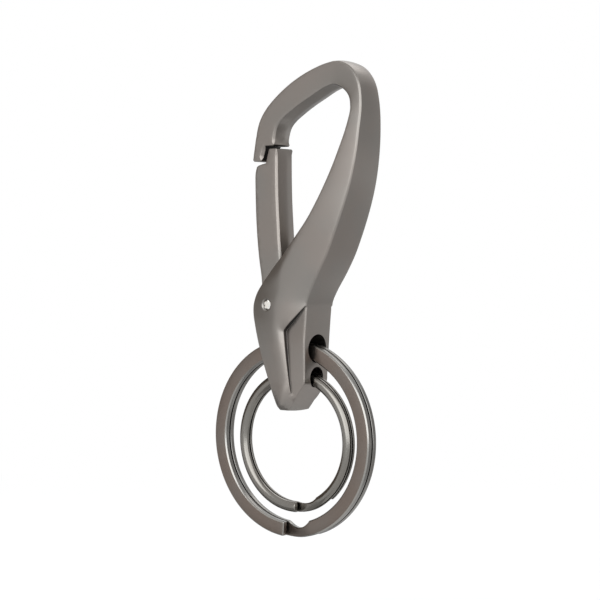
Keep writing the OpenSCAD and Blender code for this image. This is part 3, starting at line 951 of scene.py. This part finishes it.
# The gate. Gaps and rooms are what it is kept clear by, and footRoom is a share of its foot's radius.
gateValues = {
    "thick": 4.6 * mm,
    "open": 24,
    "foot": 2.9 * mm,
    "stopGap": 0.3 * mm,
    "cheekGap": 0.1 * mm,
    "innerCrown": 0.3 * mm,
    "outerCrown": 0.15 * mm,
    "innerBevel": 0.36 * mm,
    "outerBevel": 0.14 * mm,
    "bevelSoftness": 0.25,
    "pocket": 2.5 * mm,
    "bore": 0.95 * mm,
    "tipRound": 0.35 * mm,
    "legRoom": 4.14 * mm,
    "pocketRoom": 1.91 * mm,
    "channelRoom": 0.82 * mm,
    "faceSpacing": 0.8 * mm,
    "rowSteps": 6,
    "shoulderSteps": 5,
    "shoulderRoom": 0.2 * mm,
    "footRoom": 1.04,
    "footSteps": 60,
    "cornerReach": 0.18 * mm,
    "cornerRound": 0.08 * mm,
    "cornerSteps": 3,
    "topReach": 1.0 * mm,
    "topRoom": 0.1 * mm,
    "stopDegrees": 6,
}
# Rows up the gate: height, and how far across its outer and inner edges lie
gateShares = [
    (0.3157, 0.072, 0.289), (0.345, 0.0705, 0.273), (0.385, 0.065, 0.259), (0.435, 0.044, 0.251),
    (0.49, 0.027, 0.237), (0.55, 0.015, 0.227), (0.61, 0.0085, 0.218), (0.665, 0.0055, 0.214),
    (0.7, 0.006, 0.213), (0.7622, 0.012, 0.212),
]
# The shoulder beside the tongue: how far across, and how far below its top, of the hook's thickness
shoulderShares = [(0.0065, 0.4), (0.014, 0.23), (0.031, 0.09), (0.098, 0)]


# Where a point of the gate lies when the gate is fully open
def opened(point):
    turn = math.radians(gateValues["open"])
    d = point - pinAt
    c, s = math.cos(turn), math.sin(turn)
    return pinAt + np.array([d[0] * c + d[1] * s, d[1] * c - d[0] * s])


# The slot between the cheeks, which stops the gate where it is fully open
def slotOutline():
    reach = gateValues["foot"] + gateValues["stopGap"]
    left = spot((0, 0))[0] - gateValues["foot"]
    rows = [spot((row[2], row[0])) for row in gateShares[1:-1]]
    stop = [opened(p + np.array([gateValues["innerCrown"] + gateValues["stopGap"], 0])) for p in rows]
    turns = [math.radians(degrees) for degrees in range(-90, 1, gateValues["stopDegrees"])]
    arc = [pinAt + reach * np.array([math.cos(a), math.sin(a)]) for a in turns]
    return [(left, pinAt[1] - reach)] + arc + stop + [(left, stop[-1][1])]


# The ring holes, through the tail from side to side: radius and height
ringHoles = {
    "upper": (2.52 * mm, -45.4438 * mm),
    "lower": (1.81 * mm, -50.439 * mm),
}
boreReach = 1.2 * clip["width"]


def cutBody(body):
    cutters = [prism("slot", slotOutline(), gateValues["thick"] + 2 * gateValues["cheekGap"])]
    for name, (radius, height) in ringHoles.items():
        cutters.append(cylinder(name, (-boreReach, 0, height), (boreReach, 0, height), radius))
    cutOut(body, cutters)
    print("Body cut:", len(body.data.polygons), "faces")


# Where shade is painted in the notch and along the panel's wall. A face is chosen by how much of its normal
# points to the front, right, down, left or up, and by its place.
paintedShadeFaces = {
    "frontMost": 0.5,
    "notchRight": 0.4,
    "notchDown": 0.5,
    "notchShare": 0.21,
    "notchRoom": 0.1 * mm,
    "wallShare": 0.04,
    "wallRoom": 0.25 * mm,
    "gateFrontMost": 0.6,
    "gateUp": 0.6,
    "gateLeft": 0.5,
    "gateRoom": 0.1 * mm,
    "tongueRoom": 0.3 * mm,
}


# Painted shade on the panel's wall, the lip's right side and the underside of the nose
def paintedShadeOnBody(middle, normal):
    if abs(normal.y) > paintedShadeFaces["frontMost"]:
        return False
    lipFoot = stripOuter[0][1] + clip["lipRound"]
    inNotch = lipFoot < middle.z < tongueTip[1] + clip["tipGap"] + paintedShadeFaces["notchRoom"]
    if inNotch and middle.x < spot((paintedShadeFaces["notchShare"], 0))[0]:
        return normal.x > paintedShadeFaces["notchRight"] or normal.z < -paintedShadeFaces["notchDown"]
    right = np.interp(middle.z, panelSide[:, 1], panelSide[:, 0]) - paintedShadeFaces["wallRoom"]
    wallFoot = spot((0, paintedShadeFaces["wallShare"]))[1]
    if middle.x > right or middle.z > panelEnds[0][1] or middle.z < wallFoot:
        return False
    away = panelDistance(np.array([(middle.x, middle.z)]))[0]
    return 0 < away < (panel["wall"] + panel["foot"]) / 2


body = makeBody()
cutBody(body)
# Paints shade on the notch and along the panel's wall
finished(body, paintedShadeMetal, paintedShadeOnBody)
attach(body, "clip")
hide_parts("clip_body")


# The gate's outline: shoulder, tongue, inner side, round foot and outer side
def gateOutline():
    smoothed = smoothRows(gateShares, gateValues["rowSteps"])
    outer = spots(smoothed[:, [1, 0]])
    inner = spots(smoothed[:, [2, 0]])[::-1]
    thick = clip["hookThick"]
    shoulder = [(spot((aside, 0))[0], shoulderTop - down * thick) for aside, down in shoulderShares]
    shoulder = smoothRows(shoulder, gateValues["shoulderSteps"])
    outer = outer[outer[:, 1] < shoulder[0][1] - gateValues["shoulderRoom"]]
    foot = gateValues["foot"]
    outer = outer[np.linalg.norm(outer - pinAt, axis=1) > foot * gateValues["footRoom"]]
    inner = inner[np.linalg.norm(inner - pinAt, axis=1) > foot * gateValues["footRoom"]]
    start = inner[-1] - pinAt
    end = outer[0] - pinAt
    first = math.atan2(start[1], start[0])
    last = math.atan2(end[1], end[0]) - 2 * math.pi
    turns = np.linspace(first, last, gateValues["footSteps"])[1:-1]
    arc = pinAt + foot * np.stack([np.cos(turns), np.sin(turns)], axis=1)
    tongueStart = shoulder[-1] + np.array([gateValues["cornerReach"], 0])
    radius, steps = gateValues["cornerRound"], gateValues["cornerSteps"]
    corner = rounded(shoulder[-1], tongueStart, tongueTip, radius, steps)
    tip = rounded(corner[-1], tongueTip, inner[0], gateValues["tipRound"])
    below = inner[1] - np.array([0, gateValues["topReach"]])
    topRight = rounded(tongueTip, inner[0], below, gateValues["tipRound"])
    inner = inner[inner[:, 1] < topRight[-1][1] - gateValues["topRoom"]]
    small = gateValues["outerBevel"]
    return joined([
        (shoulder, 0, 0, small), (corner, 0, 0, small), (tip, 0, 0, small), (topRight, 0, 1, small),
        (inner, gateValues["innerCrown"], 1, gateValues["innerBevel"]), (arc, 0, 0, small),
        (outer, gateValues["outerCrown"], 0, small),
    ])


def gateHeight(points):
    return np.full(len(points), gateValues["thick"] / 2)


def makeGate():
    edge = softened(gateOutline(), clip["crownFade"])
    gate = shell("gate_casting", edge, gateHeight, gateValues["bevelSoftness"], gateValues["faceSpacing"])
    far = gateValues["thick"]
    wide = gateValues["pocket"]
    room = gateValues["pocketRoom"]
    down = 2 * gateValues["foot"]
    x, z = pinAt
    left, top = x - room, z + gateValues["legRoom"]
    pocket = [(left, z), (left, z - down), (x + down, z - down), (x + down, z)]
    channel = [(left, z), (left, top), (left + gateValues["channelRoom"], top), (x, z)]
    cutters = [
        cylinder("bore", (x, -far, z), (x, far, z), gateValues["bore"]),
        cylinder("coilRoom", (x, -wide / 2, z), (x, wide / 2, z), room),
        prism("pocket", pocket, wide),
        prism("channel", channel, wide),
    ]
    cutOut(gate, cutters)
    print("Gate:", len(gate.data.polygons), "faces")
    return gate


# Painted shade on the left side and the top of the gate's tongue
def paintedShadeOnGate(middle, normal):
    if abs(normal.y) > paintedShadeFaces["gateFrontMost"] or middle.z < tongueFoot[1] + paintedShadeFaces["gateRoom"]:
        return False
    onLeft = normal.x < -paintedShadeFaces["gateLeft"] and middle.x < tongueTip[0] + paintedShadeFaces["tongueRoom"]
    return normal.z > paintedShadeFaces["gateUp"] or onLeft


gate = makeGate()
# Paints shade on the gate's tongue inside the notch
finished(gate, paintedShadeMetal, paintedShadeOnGate)
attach(gate, "gate")
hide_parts("gate")


# The pin: a shaft with a lobed, slightly domed end on each side. domeRows say how far down the dome, and how
# wide it is there.
pinValues = {
    "shaft": 0.9 * mm,
    "lobe": 0.84 * mm,
    "valley": 0.66 * mm,
    "lobes": 5,
    "turn": 8,
    "endBelow": 0.04 * mm,
    "endDepth": 0.5 * mm,
    "dome": 0.04 * mm,
    "domeRows": [(0, 0.02), (0.04, 0.35), (0.2, 0.7), (0.5, 0.9), (1, 1)],
    "lobePower": 0.8,
    "sides": 80,
}


def makePin():
    sides = pinValues["sides"]
    half = float(bodyHeight(np.array([pinAt]))[0]) - pinValues["endBelow"]
    deep = half - pinValues["endDepth"]

    def ring(y, scale, lobed):
        points = []
        for k in range(sides):
            a = 2 * math.pi * k / sides + math.radians(pinValues["turn"])
            wave = 0.5 + 0.5 * math.cos(pinValues["lobes"] * 2 * math.pi * k / sides)
            wave = wave ** pinValues["lobePower"]
            lobe = pinValues["valley"] + (pinValues["lobe"] - pinValues["valley"]) * wave
            r = scale * (lobe if lobed else pinValues["shaft"])
            points.append((pinAt[0] + r * math.cos(a), y, pinAt[1] + r * math.sin(a)))
        return points

    steps = [(half - pinValues["dome"] * down, share) for down, share in pinValues["domeRows"]]
    rings = [ring(-y, s, True) for y, s in steps]
    rings += [ring(-deep, 1, True), ring(-deep, 1, False), ring(deep, 1, False), ring(deep, 1, True)]
    rings += [ring(y, s, True) for y, s in steps[::-1]]
    return loft("pin", rings, pinSteel)


pin = makePin()
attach(pin, "clip")
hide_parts("pivot_pin")


# The torsion spring: a leg in the gate, two turns round the pin and a leg in the body
springValues = {
    "wire": 0.34 * mm,
    "diameter": 3 * mm,
    "pitch": 0.8 * mm,
    "turns": 2,
    "gateLeg": 3.9 * mm,
    "bodyLeg": 4.08 * mm,
    "stepsPerTurn": 40,
    "sides": 12,
}


def makeSpring():
    r = springValues["diameter"] / 2
    start = -springValues["turns"] * springValues["pitch"] / 2
    wire = springValues["wire"]
    steps = springValues["turns"] * springValues["stepsPerTurn"]
    path = [(-r, start, z) for z in (springValues["gateLeg"], springValues["gateLeg"] / 2, wire)]
    for i in range(steps + 1):
        a = math.pi + 2 * math.pi * i / springValues["stepsPerTurn"]
        path.append((r * math.cos(a), start - 2 * start * i / steps, r * math.sin(a)))
    path += [(-r, -start, -wire), (-r, -start, -springValues["bodyLeg"])]
    path = [Vector(p) for p in path]
    rings = []
    for i, p in enumerate(path):
        along = (path[min(i + 1, len(path) - 1)] - path[max(i - 1, 0)]).normalized()
        side = along.cross(through).normalized()
        place = Vector((pinAt[0], 0, pinAt[1])) + p
        rings.append(circle(place, wire / 2, side, side.cross(along), springValues["sides"]))
    return loft("torsion_spring", rings, springSteel)


spring = makeSpring()
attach(spring, "clip")
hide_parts("gate_spring")
print("Pin and spring made")


# The split rings, each one wire of two turns. Angles run clockwise from the bottom: the first end, the
# middle of the crossing, half its length and the last end. The wire is narrower, by the share narrow, at the
# first of narrowAngles, and less so over the second to each side.
largeRing = {
    "node": "large_ring",
    "metals": (ringMetal, ringEdgeMetal, ringBevelMetal),
    "wireWidth": 2.62 * mm,
    "bevel": 0.22 * mm,
    "stretch": 1,
    "seamBevel": 0.07 * mm,
    "softness": 0.3,
    "gap": 0.4 * mm,
    "angles": (4.7, -6, 10.5, -17.5),
    "narrowAngles": (-6, 11),
    "narrow": 0.36,
    "endRound": 0.3 * mm,
    "stepsPerTurn": 180,
}
smallRing = {
    "node": "small_ring",
    "metals": (smallRingMetal, smallRingMetal, smallRingMetal),
    "wireWidth": 1.84 * mm,
    "bevel": 0.42 * mm,
    "stretch": 1.3,
    "seamBevel": 0.06 * mm,
    "softness": 1.15,
    "gap": 0.4 * mm,
    "angles": (-2.5, -20, 17.5, -38),
    "narrowAngles": (-14, 13),
    "narrow": 0.2,
    "endRound": 0.24 * mm,
    "stepsPerTurn": 160,
}
# The same in both rings. Slopes are parts of a face's normal: outward or inward, and along the wire.
ringShares = {
    "endSteps": [0, 0.15, 0.45, 1],
    "narrowPower": 0.7,
    "bevelOutward": (0.28, 0.9),
    "bevelAlong": (0.5, 0.95),
    "seamClear": 0.6,
}


# Rises smoothly from 0 to 1
def eased(t):
    t = min(max(t, 0), 1)
    return t * t * (3 - 2 * t)


# share is 0 in the front turn and 1 in the back one: the wire's seam side is the one towards the other turn
def wireSection(values, width, thick, inset, share):
    half = thick / 2
    bevel, seam = values["bevel"], values["seamBevel"]
    stretch = 1 + (values["stretch"] - 1) * np.array([1 - share, share])
    front = edgeProfile(bevel + (seam - bevel) * share, values["softness"]) * (stretch[0], 1)
    back = edgeProfile(seam + (bevel - seam) * share, values["softness"]) * (stretch[1], 1)
    points = []
    for a, b in front:
        points.append((width - max(a, inset), max(b, inset) - half))
    for a, b in back[::-1]:
        points.append((width - max(a, inset), half - max(b, inset)))
    for a, b in back:
        points.append((max(a, inset), half - max(b, inset)))
    for a, b in front[::-1]:
        points.append((max(a, inset), max(b, inset) - half))
    return points


def makeRing(values):
    low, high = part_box(values["node"])
    middle = (low + high) / 2
    outer = (high.z - low.z) / 2
    total = high.y - low.y
    thick = (total - values["gap"]) / 2
    first, crossing, halfCrossing, last = values["angles"]
    step = 360 / values["stepsPerTurn"]
    sweep = 720 + last - first
    count = int(round(sweep / step))
    degreesPerLength = math.degrees(1 / outer)
    rounds = values["endRound"]
    ends = []
    for share in ringShares["endSteps"]:
        ends.append((rounds * share * degreesPerLength, rounds * (1 - math.sqrt(1 - (1 - share) ** 2))))
    marks = [(first + turn, inset) for turn, inset in ends]
    marks += [(first + sweep * k / count, 0) for k in range(1, count)]
    marks += [(first + sweep - turn, inset) for turn, inset in ends[::-1]]
    rings = []
    for angle, inset in marks:
        over = (angle - 360 - crossing) / halfCrossing
        layer = (eased((over + 1) / 2) - 0.5) * (thick + values["gap"])
        aside = abs(angle - 360 - values["narrowAngles"][0]) / values["narrowAngles"][1]
        narrow = values["narrow"] * math.cos(math.pi / 2 * min(aside, 1)) ** ringShares["narrowPower"]
        width = values["wireWidth"] * (1 - narrow)
        a = math.radians(angle)
        out = Vector((-math.sin(a), 0, -math.cos(a)))
        section = wireSection(values, width, thick, inset, eased((over + 1) / 2))
        rings.append([middle + out * (outer - width + p) + through * (q + layer) for p, q in section])
    faceMetal, sideMetal, bevelMetal = values["metals"]
    ring = loft(values["node"] + "_wire", rings, faceMetal)
    (lowOut, highOut), (lowAlong, highAlong) = ringShares["bevelOutward"], ringShares["bevelAlong"]

    def slopes(at, normal):
        out = Vector((at.x - middle.x, 0, at.z - middle.z)).normalized()
        return abs(out.dot(normal)), abs(out.cross(through).dot(normal))

    def onSide(at, normal):
        return slopes(at, normal)[0] > lowOut

    def onBevel(at, normal):
        outward, along = slopes(at, normal)
        fromSeam = abs(at.y - middle.y) > ringShares["seamClear"] * thick
        return (fromSeam and lowOut < outward < highOut) or lowAlong < along < highAlong

    finished(ring, sideMetal, onSide)
    finished(ring, bevelMetal, onBevel)
    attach(ring, values["node"])
    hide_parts(values["node"])
    print("Ring:", values["node"], len(ring.data.polygons), "faces")


makeRing(largeRing)
makeRing(smallRing)


# Floor, world and lamps. Sizes are in metres, angles in degrees and glows in times white.
studio = {
    "floorBelow": 22 * mm,
    "floorSize": 6,
    "floorColour": (0.86, 0.86, 0.86, 1),
    "floorSeen": (0.94, 0.94, 0.94, 1),
    "fadeStart": 0.25,
    "fadeEnd": 1.2,
    "seenStart": 0.1,
    "seenEnd": 0.32,
    "worldGlow": 0.75,
    "cardsAbove": 4 * mm,
}
white = (1, 1, 1, 1)
# Soft boxes and dark cards stand round the clip, at a direction, a height angle and a distance
softBoxes = {
    "key": {
        "turn": -63, "rise": 10, "away": 0.9, "wide": 1.7, "tall": 1.2, "glow": 2.05,
        "colour": (0.93, 0.97, 1),
    },
    "boost": {
        "turn": -87, "rise": 10, "away": 0.88, "wide": 0.48, "tall": 1.2, "glow": 0.72,
        "colour": (0.93, 0.98, 1),
    },
    "top": {
        "turn": 110, "rise": 55, "away": 0.9, "wide": 0.7, "tall": 0.5, "glow": 1.4,
        "colour": (1, 1, 1),
    },
}
darkCards = {
    "leftCard": {
        "turn": 178, "rise": 0, "away": 0.8, "wide": 1.44, "tall": 1.3, "glow": 0.22,
        "colour": (1, 0.8, 0.64, 1),
    },
    "rightCard": {
        "turn": 42, "rise": 0, "away": 0.8, "wide": 0.92, "tall": 1.1, "glow": 0.62,
        "colour": white,
    },
}
# Dark cards that lie just above the floor, from the middle of the clip
tableCards = {
    "backTable": {"wide": 0.2, "tall": 0.2, "aside": 0.13, "behind": 0.14, "glow": 0.64, "colour": white},
    "leftTable": {"wide": 0.5, "tall": 0.5, "aside": -0.25, "behind": 0.2, "glow": 0.5, "colour": white},
}
clipMiddle = (cadLow + cadHigh) / 2
floorLevel = cadLow.z - studio["floorBelow"]


def makeWorld():
    world = bpy.data.worlds.new("studio")
    bpy.context.scene.world = world
    nodes = Nodes(world)
    seen = nodes.add("ShaderNodeLightPath", output="Is Camera Ray")
    share = (seen + seen.beside("Is Glossy Ray") + seen.beside("Is Transmission Ray")).clamped()
    strength = studio["worldGlow"] + share * (1 - studio["worldGlow"])
    glow = nodes.add("ShaderNodeBackground", None, {"Color": white, "Strength": strength})
    nodes.add("ShaderNodeOutputWorld", None, {"Surface": glow})


# A flat sheet with a material of its own, and the nodes of that material
def flatSheet(name, materialName, wide, tall, level=0):
    x, y = wide / 2, tall / 2
    corners = [(-x, -y, level), (x, -y, level), (x, y, level), (-x, y, level)]
    mesh = bpy.data.meshes.new(name)
    mesh.from_pydata(corners, [], [range(len(corners))])
    sheet = bpy.data.objects.new(name, mesh)
    bpy.context.collection.objects.link(sheet)
    material = bpy.data.materials.new(materialName)
    mesh.materials.append(material)
    return sheet, Nodes(material)


# The floor turns white far from the clip, sooner for the camera than in what the metal mirrors
def makeFloor():
    floor, nodes = flatSheet("floor", "pale_floor", studio["floorSize"], studio["floorSize"], floorLevel)
    place = nodes.add("ShaderNodeTexCoord", output="Object")
    flat = nodes.add("ShaderNodeVectorMath", {"operation": "MULTIPLY"}, {0: place, 1: (1, 1, 0)})
    reach = nodes.add("ShaderNodeVectorMath", {"operation": "LENGTH"}, {0: flat}, output="Value")
    seen = nodes.add("ShaderNodeLightPath", output="Is Camera Ray")
    glossy = seen.beside("Is Glossy Ray")
    farSeen = seen * reach.between(studio["seenStart"], studio["seenEnd"])
    farShown = glossy * reach.between(studio["fadeStart"], studio["fadeEnd"])
    share = (farSeen + farShown).clamped()
    colour = nodes.mixed(seen, studio["floorColour"], studio["floorSeen"])
    matt = nodes.add("ShaderNodeBsdfDiffuse", None, {"Color": colour})
    far = nodes.add("ShaderNodeEmission", None, {"Color": white, "Strength": 1.0})
    nodes.surface(nodes.add("ShaderNodeMixShader", None, {0: share, 1: matt, 2: far}))


# Turns a thing towards the clip from its direction, height angle and distance
def placed(thing, values):
    turn = math.radians(values["turn"])
    rise = math.radians(values["rise"])
    away = Vector((math.cos(turn) * math.cos(rise), math.sin(turn) * math.cos(rise), math.sin(rise)))
    thing.location = clipMiddle + away * values["away"]
    thing.rotation_euler = away.to_track_quat("Z", "Y").to_euler()


def makeLamps():
    for name, values in softBoxes.items():
        lamp = bpy.data.lights.new(name, "AREA")
        lamp.shape = "RECTANGLE"
        lamp.size = values["wide"]
        lamp.size_y = values["tall"]
        lamp.color = values["colour"]
        lamp.energy = values["glow"] * math.pi * values["wide"] * values["tall"]
        box = bpy.data.objects.new(name, lamp)
        box.visible_camera = False
        placed(box, values)
        bpy.context.collection.objects.link(box)


# Dark cards show only in the metal, as the flags of a photographer's table do
def darkCard(name, values):
    card, nodes = flatSheet(name, name, values["wide"], values["tall"])
    sockets = {"Color": values["colour"], "Strength": values["glow"]}
    nodes.surface(nodes.add("ShaderNodeEmission", None, sockets))
    card.visible_camera = False
    card.visible_diffuse = False
    card.visible_shadow = False
    return card


def makeCards():
    for name, values in darkCards.items():
        placed(darkCard(name, values), values)
    level = floorLevel + studio["cardsAbove"]
    for name, values in tableCards.items():
        card = darkCard(name, values)
        card.location = (clipMiddle.x + values["aside"], clipMiddle.y + values["behind"], level)


makeWorld()
makeFloor()
makeLamps()
makeCards()
bpy.context.scene.view_settings.view_transform = "Standard"
print("Studio lit")
